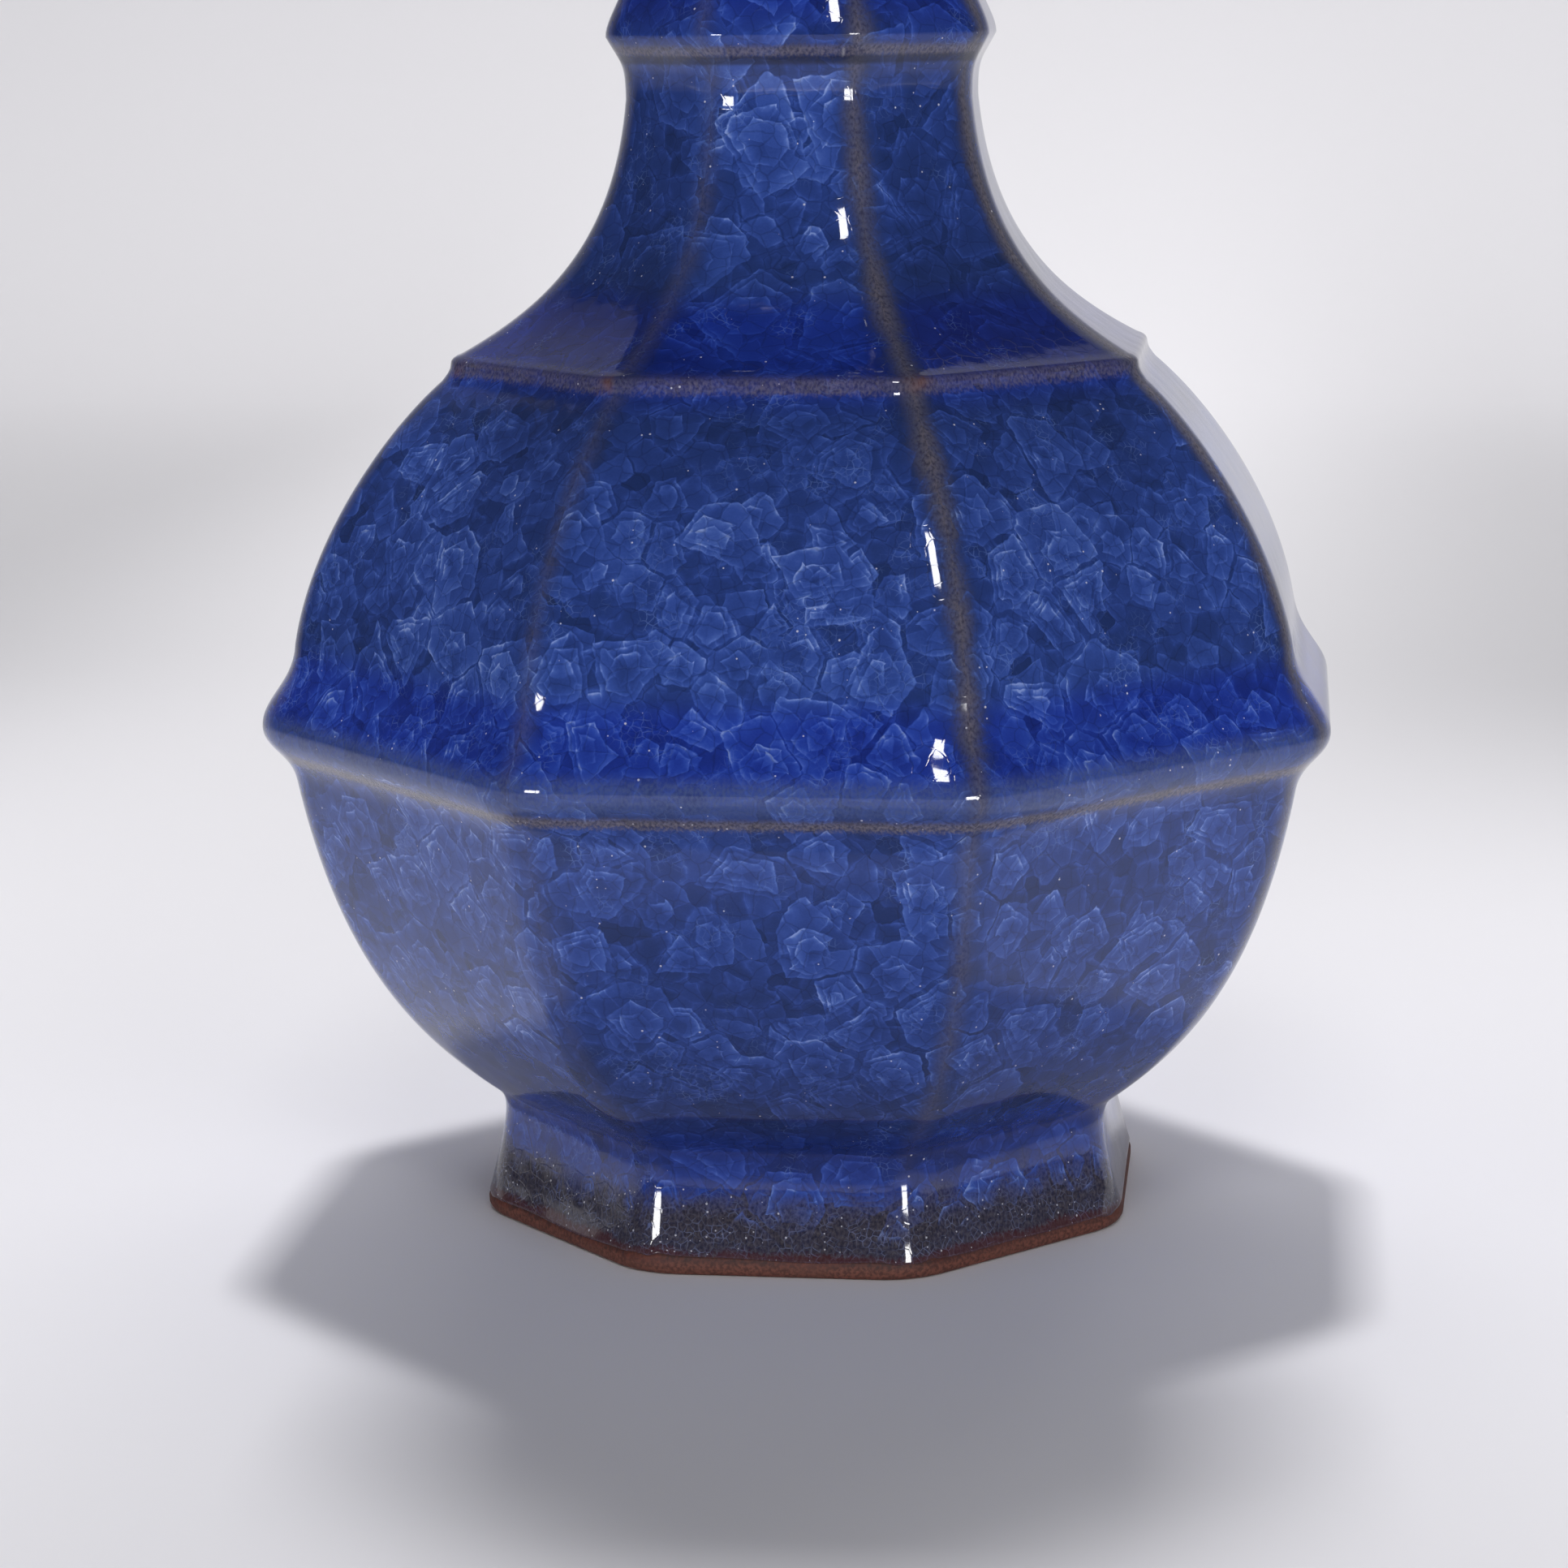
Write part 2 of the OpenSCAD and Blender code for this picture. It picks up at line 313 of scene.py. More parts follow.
cavity = insetLine(smoothLine(marks, vase["insideStretches"]), [vase["glaze"], vase["wall"]])
floorHeight = coat["baseHeight"] + coat["baseThickness"]
fillet = curveBetween((coat["floorRadius"], floorHeight), tuple(cavity[0]), *coat["fillet"])
cavity = fillet + cavity[1:-1] + [clayLine[-1]]
liningLine = insetLine(cavity, [[(0, coat["lining"])]])[:-1] + [glazed[-1]]
liningLine = disc(coat["floorRadius"], floorHeight + coat["lining"])[:-1] + liningLine
liningLine += cavity[::-2] + [Vector((0, floorHeight))]
lining = turnOctagonal("lining_coat", liningLine, False)

recessEdge = Vector((coat["recessRadius"], coat["baseHeight"]))
baseLine = disc(coat["recessRadius"], coat["baseHeight"] - coat["lining"])
baseLine += [recessEdge, Vector((0, coat["baseHeight"]))]
baseGlaze = turnOctagonal("base_coat", baseLine, False)

footLine = [Vector(p) for p in foot["outside"]]
footLine += [p for p in clayLine if foot["underCoat"] < p.y < coat["baseHeight"]]
footLine += [Vector((foot["topRadius"], coat["baseHeight"])), recessEdge]
footLine += [Vector(p) for p in foot["inside"]]
footRing = turnOctagonal("bare_foot", footLine, True)
print("coats and foot turned")


# Finishes


class Wire:
    # a socket of a material, so that its maths is written as plain expressions
    def __init__(self, socket):
        self.socket = socket

    def node(self, kind, settings, inputs, output=0):
        tree = self.socket.id_data
        made = tree.nodes.new(kind)
        for key, value in settings.items():
            if key == "stops":
                ramp = made.color_ramp
                while len(ramp.elements) < len(value):
                    ramp.elements.new(1)
                for element, (place, colour) in zip(ramp.elements, value):
                    element.position = place
                    element.color = (*colour, 1)
            else:
                setattr(made, key, value)
        for key, value in inputs.items():
            if isinstance(value, Wire):
                tree.links.new(value.socket, made.inputs[key])
            elif isinstance(value, tuple) and made.inputs[key].type == "RGBA":
                made.inputs[key].default_value = (*value, 1)
            else:
                made.inputs[key].default_value = value
        return Wire(made.outputs[output])

    def maths(self, operation, *values):
        return self.node("ShaderNodeMath", {"operation": operation}, dict(enumerate(values)))

    def __add__(self, other):
        return self.maths("ADD", self, other)

    def __radd__(self, other):
        return self.maths("ADD", other, self)

    def __sub__(self, other):
        return self.maths("SUBTRACT", self, other)

    def __rsub__(self, other):
        return self.maths("SUBTRACT", other, self)

    def __mul__(self, other):
        return self.maths("MULTIPLY", self, other)

    def __rmul__(self, other):
        return self.maths("MULTIPLY", other, self)

    def __truediv__(self, other):
        return self.maths("DIVIDE", self, other)

    def __rtruediv__(self, other):
        return self.maths("DIVIDE", other, self)

    def __gt__(self, other):
        return self.maths("GREATER_THAN", self, other)

    def __lt__(self, other):
        return self.maths("LESS_THAN", self, other)

    def size(self):
        # the value without its sign
        return self.maths("ABSOLUTE", self)

    def atMost(self, other):
        return self.maths("MINIMUM", self, other)

    def atLeast(self, other):
        return self.maths("MAXIMUM", self, other)

    def fadeOver(self, distance):
        # 1 at nothing, and less and less beyond
        return self.maths("EXPONENT", self / -distance)

    def rise(self, start, end, low=0, high=1):
        # low before start, high past end, smooth between; start may be the larger of the two
        return self.node("ShaderNodeMapRange", {"interpolation_type": "SMOOTHSTEP"},
                         {"Value": self, "From Min": start, "From Max": end, "To Min": low, "To Max": high})

    def also(self, output):
        # another output of the same node
        return Wire(self.socket.node.outputs[output])

    def vector(self, operation, *values):
        return self.node("ShaderNodeVectorMath", {"operation": operation}, dict(enumerate((self, *values))))

    def clouds(self, size, detail=2, stretch=(1, 1, 1)):
        # soft random patches about as large as size, in the units of the place that it is called on
        squeezed = self.vector("MULTIPLY", tuple(1 / (size * s) for s in stretch))
        return self.node("ShaderNodeTexNoise", {}, {"Vector": squeezed, "Scale": 1, "Detail": detail})

    def cells(self, feature, scale, evenness, output=0):
        # a flat pattern of cells round random middles; distances come out in cells
        return self.node("ShaderNodeTexVoronoi", {"voronoi_dimensions": "2D", "feature": feature},
                         {"Vector": self, "Scale": scale, "Randomness": evenness}, output)

    def coloured(self, stops):
        return self.node("ShaderNodeValToRGB", {"stops": stops}, {0: self})

    def parts(self):
        # the three numbers of a vector
        split = self.node("ShaderNodeSeparateXYZ", {}, {0: self})
        return split, split.also(1), split.also(2)


def mixNumbers(share, low, high):
    return low + (high - low) * share


def mixColours(share, low, high):
    return share.node("ShaderNodeMix", {"data_type": "RGBA"}, {0: share, 6: low, 7: high}, 2)


def paint(red, green, blue):
    # a colour as it looks on a screen, 0 to 255, in the linear numbers that a shader takes
    shares = [value / 255 for value in (red, green, blue)]
    return tuple(s / 12.92 if s < 0.04 else ((s + 0.055) / 1.055) ** 2.4 for s in shares)


def startMaterial(name, **fixed):
    material = bpy.data.materials.new(name)
    material.use_nodes = True
    shader = material.node_tree.nodes["Principled BSDF"]
    for key, value in fixed.items():
        shader.inputs[key.replace("_", " ")].default_value = value
    return material, Wire(shader.inputs["Base Color"])


def feed(material, key, wire):
    shader = material.node_tree.nodes["Principled BSDF"]
    material.node_tree.links.new(wire.socket, shader.inputs[key])


def objectPlace(start):
    # Object coordinates, in metres
    return start.node("ShaderNodeTexCoord", {}, {}, 3)


def placeInMm(start):
    return objectPlace(start).vector("MULTIPLY", (1 / mm, 1 / mm, 1 / mm))


# The crackle of the glaze: flakes at several depths, each with a pale rim

glaze = {
    # from the deepest flakes to those nearest the surface, lengths in mm. light is how light a flake is,
    # from 0 to 1, and spread how much two of them differ; margin is how far the edge of the smallest and
    # of the largest lies inside the border with the next; rings are shares of the flake's own size
    "flakes": [
        {"size": 2.7, "shown": 0.95, "light": 0.25, "spread": 0.16, "rim": 0.17, "soft": 0.2, "turn": 0.3,
         "margin": (-0.2, 0.15), "rings": [], "shift": (13, 5, 0)},
        {"size": 4.3, "shown": 0.6, "light": 0.31, "spread": 0.2, "rim": 0.22, "soft": 0.17, "turn": 1.1,
         "margin": (-0.3, 0.3), "rings": [], "shift": (3, 41, 0)},
        {"size": 5.8, "shown": 0.46, "light": 0.37, "spread": 0.22, "rim": 0.26, "soft": 0.14, "turn": 0.6,
         "margin": (-0.2, 0.6), "rings": [0.31], "spoke": 0.3, "shift": (91, 73, 0)},
        {"size": 9.2, "shown": 0.42, "light": 0.39, "spread": 0.24, "rim": 0.28, "soft": 0.13, "turn": -0.5,
         "margin": (0, 1.2), "rings": [0.36, 0.22], "spoke": 0.4, "shift": (57, 29, 0)},
    ],
    "evenness": 0.76,  # 0 would set the flakes in a grid, 1 strews them
    "neckDensity": 0.72,  # the largest roses stand this much less densely on the neck, and are larger
    "rimReach": 0.17,  # how far the pale rim reaches into a flake
    "glowReach": 1.1,  # and the fainter light behind it
    "glowShare": 0.85,
    "lowSide": 0.75,  # how bright a rim is on a flake's level sides, and the painted light that its upper side adds, as if lit from above
    "paintedTopLight": 0.25,
    "shadowReach": 0.5,  # how far round itself a flake casts a painted shadow on what lies below
    "shadowDepth": 0.09,
    "warpSize": 2.5,
    "warp": (1.4, 1.4, 0),
    "ground": (0.11, 0.27),  # how light the glaze is below all flakes
    "groundSize": 2.5,
    "glintSize": 2.4,
    "glints": (0.35, 0.7, 0.45, 1.75),  # some stretches of rim shine, others nearly fade out
    "grainSize": 0.32,
    "grain": 0.1,
    "web": {"size": 1.0, "shift": (0, 0, 0), "width": (0.1, 0.01)},  # fine lines, seen where it is thin
    "crack": {"size": 2.8, "shift": (31, 17, 0), "width": (0.17, 0.02)},  # dark cracks through it all
    # colours of the flakes from the darkest gap to the palest rim, and the same in the deep pools
    "tones": [(0, paint(24, 40, 82)), (0.2, paint(33, 51, 103)), (0.38, paint(42, 64, 131)),
              (0.55, paint(53, 79, 155)), (0.75, paint(76, 104, 181)), (1, paint(132, 154, 212))],
    "poolTones": [(0, paint(15, 28, 88)), (0.2, paint(22, 38, 118)), (0.38, paint(28, 50, 146)),
                  (0.55, paint(38, 66, 168)), (0.75, paint(60, 90, 188)), (1, paint(120, 144, 210))],
}

rose = {
    "petals": 5,  # half of the roses have one more
    "turns": 9,  # how far two roses may be turned against each other
    "ringTurn": 1.3,
    "roseShade": 0.4,  # how much two roses differ, and two petals
    "petalShade": 0.8,
    "petalSeed": 50,  # keeps the petals of one rose unlike those of the next
    "spokeWidth": (0.1, 0.01),  # of the lines between petals
    "crown": 0.7,  # size of the smallest ring, and what its rose and each petal may add to it
    "crownSpread": 0.4,
    "petalSpread": 0.3,
    "ringGap": 0.8,
}


def openRose(kind, flake):
    # the rings of a rose from its outline inwards: how far it is to the ring's edge, how light the
    # petals are, and the lines between them
    petals = rose["petals"] + (flake["tone"] > 0.5)
    turn = flake["up"].maths("ARCTAN2", flake["up"], flake["across"]) * petals * 0.5
    turn = turn + flake["breadth"] * rose["turns"]
    edge = flake["outline"]
    rings = []
    for ring, share in enumerate([None] + kind["rings"]):
        wave = turn + ring * rose["ringTurn"]
        within = wave.maths("FLOORED_MODULO", wave, math.pi)
        number = (wave - within) / math.pi + 0.5
        number = number.maths("FLOORED_MODULO", number, petals)
        number = number.maths("FLOOR", number)
        seed = flake["breadth"] * rose["petalSeed"] + ring
        seed = seed.node("ShaderNodeCombineXYZ", {}, {0: number, 1: seed})
        petal = seed.node("ShaderNodeTexWhiteNoise", {"noise_dimensions": "2D"}, {"Vector": seed})
        shade = rose["roseShade"] * (flake["tone"] - 0.5) + rose["petalShade"] * (petal - 0.5)
        spoke = 0
        if ring < len(kind["rings"]):
            spoke = flake["reach"] * within.maths("SINE", within) / petals
            spoke = spoke.rise(*rose["spokeWidth"]) * kind["spoke"]
        if share:
            slant = (2 * within - math.pi) / petals
            crown = rose["crown"] + rose["crownSpread"] * flake["breadth"] + rose["petalSpread"] * petal
            crown = flake["size"] * share * crown - flake["reach"] * slant.maths("COSINE", slant)
            edge = crown.atMost(flake["outline"] - rose["ringGap"] * ring)
        rings.append((edge, shade, spoke))
    return rings


def layFlakes(glow, place, density, glints, kind):
    # lays one depth of flakes over the glow of all that lies below it; those with rings open like
    # roses, each ring a smaller crown of petals inside the last
    moved = place.node("ShaderNodeVectorRotate", {"rotation_type": "Z_AXIS"},
                       {"Vector": place, "Angle": kind["turn"]}).vector("ADD", kind["shift"])
    size = kind["size"] / density
    scale = density / kind["size"]
    cell = moved.cells("F1", scale, glaze["evenness"], 1)
    border = moved.cells("DISTANCE_TO_EDGE", scale, glaze["evenness"])
    chance, breadth, tone = cell.parts()
    offset = moved.vector("SUBTRACT", cell.also(2))
    across, up = offset.parts()[:2]
    reach = offset.vector("LENGTH").also(1)
    shown = chance < kind["shown"] / density
    outline = border * size - mixNumbers(breadth, *kind["margin"])
    # painted light: the upper side of each flake's rim is paler, as if lit from above
    rimPaintedLight = glaze["lowSide"] + glaze["paintedTopLight"] * up / reach
    rings = [(outline, tone - 0.5, 0)]
    if kind["rings"]:
        rings = openRose(kind, {"size": size, "breadth": breadth, "tone": tone, "across": across, "up": up,
                                "reach": reach, "outline": outline})
    for edge, shade, spoke in rings:
        # a painted shadow darkens the glaze below round the edge of each flake
        outside = edge.rise(-glaze["shadowReach"], 0) * shown
        inside = edge.rise(-kind["soft"], kind["soft"]) * shown
        held = edge.atLeast(0)
        rim = held.fadeOver(glaze["rimReach"]) + glaze["glowShare"] * held.fadeOver(glaze["glowReach"])
        light = kind["light"] + shade * kind["spread"] + (rim * rimPaintedLight + spoke) * glints * kind["rim"]
        glow = glow * (1 - outside * glaze["shadowDepth"])
        glow = mixNumbers(inside, glow, light)
    return glow


def findPlace(start):
    # the place on the glaze in mm, and the same bent a little, so that no edge of a flake is straight
    flat = start.node("ShaderNodeUVMap", {"uv_map": "glazeMap"}, {}).vector("MULTIPLY", (1 / mm, 1 / mm, 0))
    warpScale = 1 / glaze["warpSize"]
    bend = flat.node("ShaderNodeTexNoise", {}, {"Vector": flat, "Scale": warpScale, "Detail": 2}, 1)
    bend = bend.vector("SUBTRACT", (0.5, 0.5, 0.5)).vector("MULTIPLY", glaze["warp"])
    return flat, flat.vector("ADD", bend)


def findGlints(flat):
    return flat.clouds(glaze["glintSize"], 3).rise(*glaze["glints"])


def crackle(flat, place, density, glints, flakes):
    # how light the glaze is, from 0 to about 1
    glow = mixNumbers(flat.clouds(glaze["groundSize"]), *glaze["ground"])
    for kind in flakes:
        large = len(kind["rings"]) > 1
        glow = layFlakes(glow, place, density if large else 1, glints, kind)
    return glow + (flat.clouds(glaze["grainSize"], 2) - 0.5) * glaze["grain"]


def hairLines(place, kind):
    # 1 on the lines between cells, 0 past the width of a line
    border = place.vector("ADD", kind["shift"]).cells("DISTANCE_TO_EDGE", 1 / kind["size"], 1)
    return (border * kind["size"]).rise(*kind["width"])


specks = {
    "density": 0.9,  # places for a speck in each mm
    "size": (0.06, 0.18),
    "soft": 0.08,
    "onGlaze": 0.05,  # how many of the places hold one, on the glaze and on the thin foot
    "onFoot": 0.22,
}


def strewSpecks(flat, share):
    # tiny pale specks
    speck = flat.cells("F1", specks["density"], 1)
    chance, breadth = speck.also(1).parts()[:2]
    return (mixNumbers(breadth, *specks["size"]) - speck).rise(0, specks["soft"]) * (chance < share)


# Where the glaze lies thin it goes brown on the edges, and where it runs together it goes deep blue

colours = {
    "thinDark": paint(62, 57, 64),
    "thinPale": paint(122, 114, 116),
    "thinWeb": paint(106, 112, 142),
    "paleWeb": paint(104, 132, 194),
    "footDark": paint(38, 35, 44),
    "iron": paint(86, 38, 28),
    "zoneShade": paint(44, 56, 94),
    "ridgeHaze": paint(74, 88, 132),
    # the dark of the cracks, which is also the painted shade under the ring
    "crackAndRingShade": paint(20, 24, 44),
    "rust": paint(118, 74, 44),
    "footWeb": paint(72, 84, 128),
    "speck": paint(214, 214, 226),
}

unevenness = {
    # sizes in mm of the soft patterns that make the glaze uneven
    "fibres": 0.42,
    "fibreStretch": (1, 1.5, 1),
    "patches": 9,
    "slow": 30,
    "waves": 6,
    "pits": 0.9,
}

# A row of four says between which two places, in mm, something changes, and from what to what. A row
# for a band has its middle height, half its height, how far it fades out, and how strong it is
shades = {
    "slow": (0.89, 1.19),
    # rows of painted shade low on the bowl and down the sides of the neck, and a darker band at the foot of
    # the neck
    "bowl": (52, 76, 0.92, 1),
    "bowlFoot": (38, 22, 0, 0.36),
    "aboveFoot": (12, 19, 0, 1),
    "shoulder": (128, 5, 14, 0.3),  # a band
    "neckSides": (8, 17, 0, 0.34),
    "pools": [(80, 3, 5, 1), (129, 3, 6, 1), (16, 3, 6, 0.5), (182, 5, 10, 1)],
    "poolPatches": (0.55, 1.15),
    "haze": (74.4, 1.2, 2.4, 1),
    "hazeFibres": (0.35, 0.7, 0.4, 0.8),
    "footWash": (16, 11, 0, 1),
    "footWashWeb": (0.04, 0.44),
    "webPatches": (0.5, 0.65, 0, 0.35),
    "crack": 0.25,
}
thinness = {
    # how much fibres and patches of the glaze move the edges of what follows
    "foot": (3, 8),
    "edge": (2.4, 3),
    "lines": (1.3, 0.8),
    "iron": (2, 3),
    "footGlow": 6,
    "edgeGlow": 1.4,
    # on the upright edges: how far it reaches, and where on the vase it is strong
    "edgeReach": (3.2, -0.6, 0, 1),
    "zoneReach": (4.4, 1, 0, 1),
    "byHeight": [(66, 84, 0.5, 1), (18, 30, 0.3, 1)],
    "bySide": (-14, 18, 0.3, 0.85),
    "ridges": [(70.6, 0.2, 1.1, 0.85), (168.3, 0.3, 1.0, 0.75)],
    "shoulder": (125, 0.5, 1.2, 1),
    "shoulderPatches": (0.15, 0.95),
    "lip": (272.6, 274.2, 0, 1),
    "footReach": (16.3, 9.3, 0, 1),
    "fibres": (0.28, 0.72, 0, 1),
    "footDark": (0.95, 0.45),
    "web": (0.2, 0.7),
    "depth": 0.92,
    # a band of painted shade under the ring
    "crackAndRingShade": (167.1, 0.3, 0.6, 0.7),
    "rust": (125, 0.6, 1.2, 0.6),
    "rustReach": (5, 1, 0, 1),
    "rustPatches": (0.45, 0.65, 0, 1),
    "ironReach": (3.9, 2.9, 0, 1),
    "ironOnLip": 0.6,
    "ironDepth": 0.5,
    "speckPatches": (0.35, 0.65, 0, 1),
    "speckDepth": 0.75,
}
relief = {"pits": 0.03, "crack": 0.07, "depth": 0.00006}  # shares of the waves, and their depth in metres


def bandAt(height, middle, half, fade, strength):
    # strength within half of the middle height, 0 beyond the fade
    return (height - middle).size().rise(half + fade, half, 0, strength)


def strongestBand(height, rows):
    made = bandAt(height, *rows[0])
    for row in rows[1:]:
        made = made.atLeast(bandAt(height, *row))
    return made


def outerFinish():
    material, start = startMaterial("crackle_glaze", Roughness=0.05, IOR=1.46)
    where = placeInMm(start)
    sideways, height = where.parts()[::2]
    onNeck = height > vase["marks"]["shoulder"][1]
    flat, place = findPlace(start)
    glints = findGlints(flat)
    glow = crackle(flat, place, mixNumbers(onNeck, 1, glaze["neckDensity"]), glints, glaze["flakes"])
    faintest = glaze["glints"][2]
    web = hairLines(place, glaze["web"]) * (glints - faintest)
    crack = hairLines(place, glaze["crack"])
    toArris = start.node("ShaderNodeUVMap", {"uv_map": "edgeMap"}, {}).parts()[0] * (1 / mm)
    fibres = flat.clouds(unevenness["fibres"], 3, unevenness["fibreStretch"])
    patches = where.clouds(unevenness["patches"], 3)
    slow = where.clouds(unevenness["slow"], 1)

    def ragged(value, byFibres, byPatches):
        return value + (fibres - 0.5) * byFibres + (patches - 0.5) * byPatches

    # painted shade, darker low on the bowl and down the sides of the neck; the foot of the neck is also
    # made darker
    glow = glow * mixNumbers(slow, *shades["slow"]) * height.rise(*shades["bowl"])
    glow = glow * (1 - height.rise(*shades["bowlFoot"]) * height.rise(*shades["aboveFoot"]))
    glow = glow * (1 - bandAt(height, *shades["shoulder"]))
    glow = glow * (1 - sideways.size().rise(*shades["neckSides"]) * onNeck)

    # the coat pools above each ridge and above the foot
    pool = strongestBand(height, shades["pools"]) * mixNumbers(patches, *shades["poolPatches"])
    tone = mixColours(pool.atMost(1), glow.coloured(glaze["tones"]), glow.coloured(glaze["poolTones"]))

    # the cracks, a pale web in patches, a haze on the belly ridge and a wash over the foot
    tone = mixColours(crack * shades["crack"], tone, colours["crackAndRingShade"])
    tone = mixColours(web * patches.rise(*shades["webPatches"]), tone, colours["paleWeb"])
    haze = bandAt(height, *shades["haze"]) * fibres.rise(*shades["hazeFibres"])
    tone = mixColours(haze, tone, colours["ridgeHaze"])
    footEdge = ragged(height, *thinness["foot"]) + glow * thinness["footGlow"]
    wash = footEdge.rise(*shades["footWash"]) * mixNumbers(web, *shades["footWashWeb"])
    tone = mixColours(wash, tone, colours["footWeb"])

    # how far the coat has thinned: on upright edges, ridges, the lip and the foot
    fromArris = ragged(toArris, *thinness["edge"]) + glow * thinness["edgeGlow"]
    worn = sideways.rise(*thinness["bySide"])
    for row in thinness["byHeight"]:
        worn = worn * height.rise(*row)
    level = ragged(height, *thinness["lines"])
    onShoulder = bandAt(level, *thinness["shoulder"]) * mixNumbers(patches, *thinness["shoulderPatches"])
    onLip = height.rise(*thinness["lip"])
    onFoot = footEdge.rise(*thinness["footReach"])
    thin = (fromArris.rise(*thinness["edgeReach"]) * worn).atLeast(strongestBand(level, thinness["ridges"]))
    thin = thin.atLeast(onShoulder).atLeast(onLip).atLeast(onFoot)

    # the colours that come through there
    tone = mixColours((fromArris.rise(*thinness["zoneReach"]) * worn).atMost(1), tone, colours["zoneShade"])
    bare = mixColours(fibres.rise(*thinness["fibres"]), colours["thinDark"], colours["thinPale"])
    bare = mixColours(onFoot * mixNumbers(fibres, *thinness["footDark"]), bare, colours["footDark"])
    bare = mixColours(web * mixNumbers(onFoot, *thinness["web"]), bare, colours["thinWeb"])
    tone = mixColours(thin * thinness["depth"], tone, bare)
    # painted shade under the ring
    tone = mixColours(bandAt(height, *thinness["crackAndRingShade"]), tone, colours["crackAndRingShade"])
    rust = bandAt(level, *thinness["rust"]) * toArris.rise(*thinness["rustReach"])
    tone = mixColours(rust * patches.rise(*thinness["rustPatches"]), tone, colours["rust"])
    iron = ragged(height, *thinness["iron"]).rise(*thinness["ironReach"])
    iron = iron.atLeast(onLip * thinness["ironOnLip"])
    tone = mixColours(iron * thinness["ironDepth"], tone, colours["iron"])
    share = specks["onGlaze"] * patches.rise(*thinness["speckPatches"]) + specks["onFoot"] * onFoot
    tone = mixColours(strewSpecks(flat, share) * thinness["speckDepth"], tone, colours["speck"])
    feed(material, "Base Color", tone)

    ripple = where.clouds(unevenness["waves"], 1) + where.clouds(unevenness["pits"], 1) * relief["pits"]
    ripple = ripple - crack * relief["crack"]
    bump = start.node("ShaderNodeBump", {}, {"Height": ripple, "Distance": relief["depth"], "Strength": 1})
    feed(material, "Normal", bump)
    return material


def liningFinish():
    # inside and under the base the coat is thin, so only its small flakes are there
    material, start = startMaterial("lining_glaze", Roughness=0.08, IOR=1.5)
    flat, place = findPlace(start)
    glow = crackle(flat, place, 1, findGlints(flat), glaze["flakes"][:2])
    feed(material, "Base Color", glow.coloured(glaze["tones"]))
    return material


clay = {
    "dark": paint(74, 38, 30),
    "pale": paint(112, 64, 52),
    "patch": paint(92, 54, 44),
    "roughness": 0.75,
    "grainSize": 0.5,
    "grain": (0.35, 0.65),
    "patchSize": 6,
    "patches": (0.4, 0.7, 0, 0.5),
    # the skin next to the glaze, fired redder and smoother; it starts this high above the floor, in mm
    "skinFrom": (1.4, 2.2),
    "skinWaver": 1.2,
    "skinDark": paint(58, 28, 26),
    "skinPale": paint(100, 48, 36),
    "skinPatches": (0.42, 0.6, 0, 0.5),
    "skinGrain": (0.38, 0.62, 0, 0.5),
    "skinRoughness": 0.65,
    "relief": 0.0001,  # in metres
}


def clayFinish():
    material, start = startMaterial("bare_clay", Roughness=clay["roughness"])
    where = placeInMm(start)
    height = where.parts()[2]
    grain = where.clouds(clay["grainSize"], 4)
    patches = where.clouds(clay["patchSize"], 2)
    tone = mixColours(grain.rise(*clay["grain"]), clay["dark"], clay["pale"])
    tone = mixColours(patches.rise(*clay["patches"]), tone, clay["patch"])
    mottle = patches.rise(*clay["skinPatches"]) + grain.rise(*clay["skinGrain"])
    onSkin = (height + (patches - 0.5) * clay["skinWaver"]).rise(*clay["skinFrom"])
    skin = mixColours(mottle, clay["skinDark"], clay["skinPale"])
    feed(material, "Base Color", mixColours(onSkin, tone, skin))
    feed(material, "Roughness", mixNumbers(onSkin, clay["roughness"], clay["skinRoughness"]))
    bump = start.node("ShaderNodeBump", {}, {"Height": grain, "Distance": clay["relief"], "Strength": 1})
    feed(material, "Normal", bump)
    return material


glazeMaterial = outerFinish()
liningMaterial = liningFinish()
clayMaterial = clayFinish()
for piece, material, nodeName, slotName in [
        (outerGlaze, glazeMaterial, "outer_glaze", "crackle_glaze"),
        (lining, liningMaterial, "lining_glaze", "lining_glaze"),
        (baseGlaze, liningMaterial, "base_glaze", "lining_glaze"),
        (footRing, clayMaterial, "foot_ring", "bare_clay")]:
    piece.data.materials.append(material)
    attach(piece, "root")
    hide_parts(nodeName)
for nodeName in ["base_slab", "lower_body", "upper_body", "lower_neck", "upper_neck"]:
    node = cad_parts[nodeName]
    node.data.materials.clear()
    node.data.materials.append(clayMaterial)
print("glaze and clay finished")


# Floor, light and camera

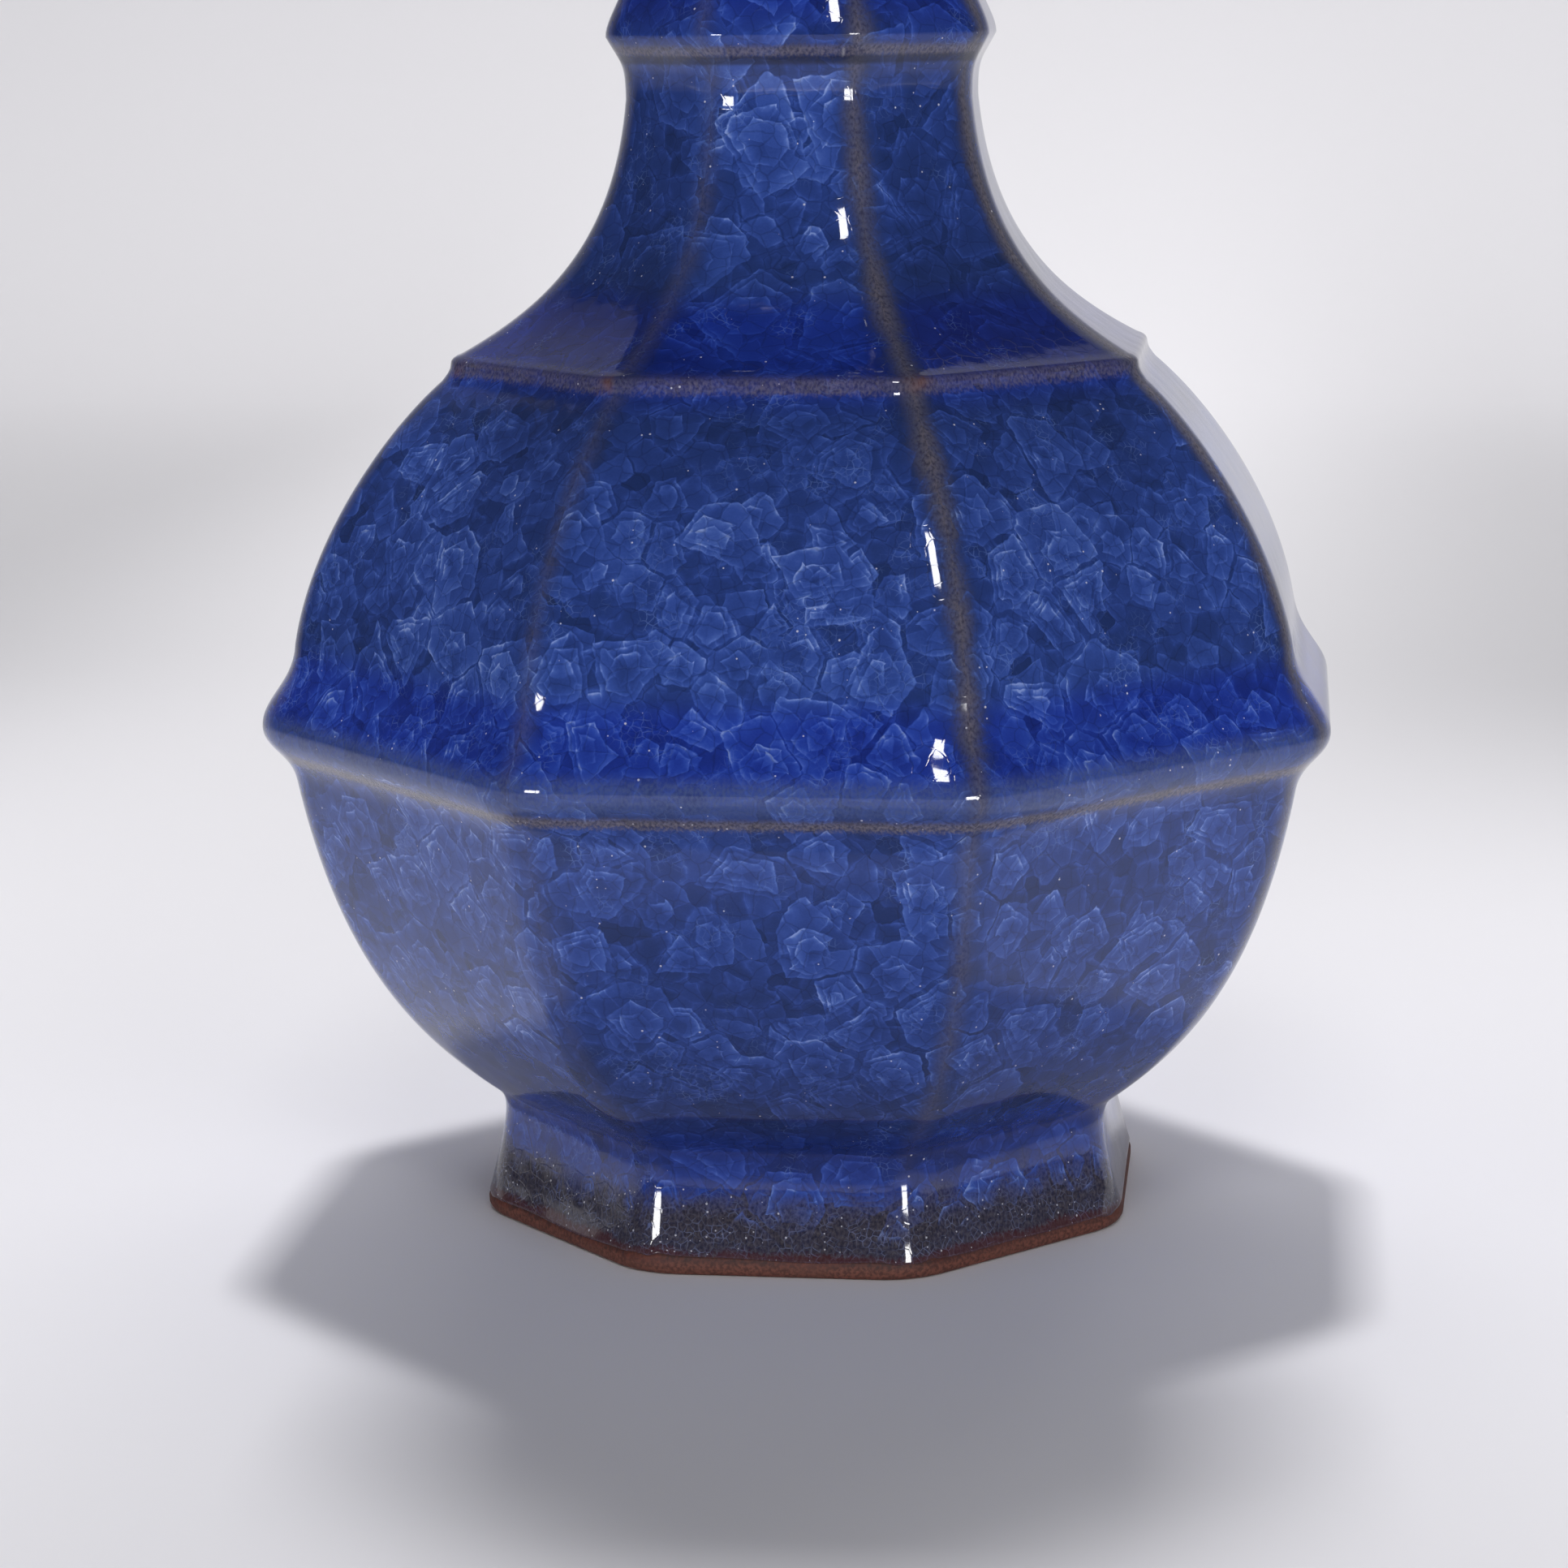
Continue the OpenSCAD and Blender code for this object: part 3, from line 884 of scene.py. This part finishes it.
studio = {
    "floorColour": (0.875, 0.862, 0.895),
    "paperRoughness": 0.9,
    "floorReach": 3.0,
    "wallDistance": 1.1,
    "wallBend": 0.6,
    "wallHeight": 2.0,
    "bendSteps": 16,
    # where painted shade darkens the floor and backdrop: between which two distances, in metres, and by how
    # much
    "paintedShadeFrom": (0.15, 0.45, 0, 1),
    "paintedShadeTo": (1.65, 0.75, 0, 1),
    "paintedShadeMiddle": -0.085,
    "paintedShadeBeside": (0.08, 0.26, 0, 0.26),
    "paintedShadeBehind": (0.1, 0.5, 0, 0.16),
    "paintedShadeNear": (-0.08, -0.24, 0, 0.1),
    "paintedShadeSides": (0.45, 0.8, 0, 0.35),
    # the lamp that throws the shadow: which way it is, how far, how wide, and its watts
    "overhead": ((-0.0445, 0.347, 1), 3.8, 0.42, 74),
    # soft lamps without a reflection: place, width, height and watts
    "fillTarget": (0, 0, 0.09),
    "fills": [
        ("front_fill", (0.1, -2.0, 0.14), 1.6, 0.2, 12.5),
        ("rear_fill", (0, 1.23, 1.12), 1.6, 0.8, 9),
        ("high_fill", (0.1, -1.07, 1.28), 0.5, 0.5, 3.6),
        ("side_fill", (0.75, -1.15, 0.8), 0.5, 0.5, 2.8),
        ("left_fill", (-1.9, -0.5, 0.16), 0.9, 0.2, 4),
        ("right_fill", (1.9, -0.5, 0.16), 0.9, 0.2, 3.4)],
    # three lamps that only show as reflections on the edges: azimuth from the front and height in
    # degrees, width and height in metres
    "sparkDistance": 1.6,
    "sparkBrightness": 28,
    "sparks": [
        ("spark_high", 10, 48, 0.26, 0.34),
        ("spark_low", 32, 0, 0.3, 0.34),
        ("spark_left", -30, 5, 0.38, 0.2)],
    "airColour": (0.9, 0.92, 1, 1),
    "airStrength": 0.05,
}


def makeSweep():
    # floor that bends up into the backdrop behind the vase
    bm = bmesh.new()
    reach = studio["floorReach"]
    bend = studio["wallBend"]
    far = studio["wallDistance"]
    line = [(-reach, 0), (far, 0)]
    for i in range(1, studio["bendSteps"] + 1):
        turn = math.radians(90 * i / studio["bendSteps"])
        line.append((far + bend * math.sin(turn), bend * (1 - math.cos(turn))))
    line.append((far + bend, studio["wallHeight"]))
    points = [bm.verts.new((-reach, y, z)) for y, z in line]
    edges = [bm.edges.new(pair) for pair in zip(points, points[1:])]
    made = bmesh.ops.extrude_edge_only(bm, edges=edges)
    moved = [e for e in made["geom"] if isinstance(e, bmesh.types.BMVert)]
    bmesh.ops.translate(bm, verts=moved, vec=(2 * reach, 0, 0))
    bmesh.ops.recalc_face_normals(bm, faces=bm.faces)
    for face in bm.faces:
        face.smooth = True
    mesh = bpy.data.meshes.new("floor")
    bm.to_mesh(mesh)
    bm.free()
    sweep = bpy.data.objects.new("floor", mesh)
    scene.collection.objects.link(sweep)
    material, start = startMaterial("pale_paper", Roughness=studio["paperRoughness"])
    sideways, deep = objectPlace(start).parts()[:2]
    # painted shade on the floor and backdrop, darker far behind the vase on both sides, far to either side
    # and near the camera
    beside = (sideways - studio["paintedShadeMiddle"]).size().rise(*studio["paintedShadeBeside"])
    paintedShade = deep.rise(*studio["paintedShadeFrom"]) * deep.rise(*studio["paintedShadeTo"]) * beside
    paintedShade = paintedShade + deep.rise(*studio["paintedShadeBehind"])
    paintedShade = paintedShade.atLeast(deep.rise(*studio["paintedShadeNear"]))
    paintedShade = paintedShade.atLeast(sideways.size().rise(*studio["paintedShadeSides"]))
    feed(material, "Base Color", mixColours(paintedShade, studio["floorColour"], (0, 0, 0)))
    sweep.data.materials.append(material)


def areaLight(name, place, target, width, height, power):
    data = bpy.data.lights.new(name, "AREA")
    data.shape = "RECTANGLE"
    data.size = width
    data.size_y = height
    data.energy = power
    light = bpy.data.objects.new(name, data)
    scene.collection.objects.link(light)
    light.location = place
    light.rotation_euler = (Vector(target) - light.location).to_track_quat("-Z", "Y").to_euler()
    light.visible_camera = False
    return light


makeSweep()
way, distance, width, power = studio["overhead"]
areaLight("overhead", Vector(way).normalized() * distance, (0, 0, 0), width, width, power)
for name, place, width, height, power in studio["fills"]:
    fill = areaLight(name, place, studio["fillTarget"], width, height, power)
    fill.visible_glossy = False
for name, azimuth, height, width, tall in studio["sparks"]:
    turn = math.radians(azimuth)
    lift = math.radians(height)
    way = Vector((math.sin(turn) * math.cos(lift), -math.cos(turn) * math.cos(lift), math.sin(lift)))
    middle = Vector(studio["fillTarget"])
    power = studio["sparkBrightness"] * math.pi * width * tall
    spark = areaLight(name, middle + way * studio["sparkDistance"], middle, width, tall, power)
    spark.visible_diffuse = False

world = bpy.data.worlds.new("studio")
scene.world = world
world.use_nodes = True
world.node_tree.nodes["Background"].inputs["Color"].default_value = studio["airColour"]
world.node_tree.nodes["Background"].inputs["Strength"].default_value = studio["airStrength"]

view = {
    "place": (0.0683, -0.5642, 0.1781),
    "target": (-0.00396, -0.00051, 0.061),
    "roll": -0.74,
    "focal": 4819.84,  # in pixels of the 1932 wide photograph
    "photoWidth": 1932,
    "sensor": 36,
    "near": 0.01,
}
cameraData = bpy.data.cameras.new("camera")
camera = bpy.data.objects.new("camera", cameraData)
scene.collection.objects.link(camera)
cameraData.sensor_width = view["sensor"]
cameraData.lens = view["focal"] / view["photoWidth"] * view["sensor"]
cameraData.clip_start = view["near"]
camera.location = view["place"]
looking = (Vector(view["target"]) - camera.location).to_track_quat("-Z", "Y")
roll = Matrix.Rotation(math.radians(view["roll"]), 3, "Z")
camera.rotation_euler = (looking.to_matrix() @ roll).to_euler()
scene.camera = camera
print("floor, lamps and camera set")

scene.view_settings.view_transform = "Standard"
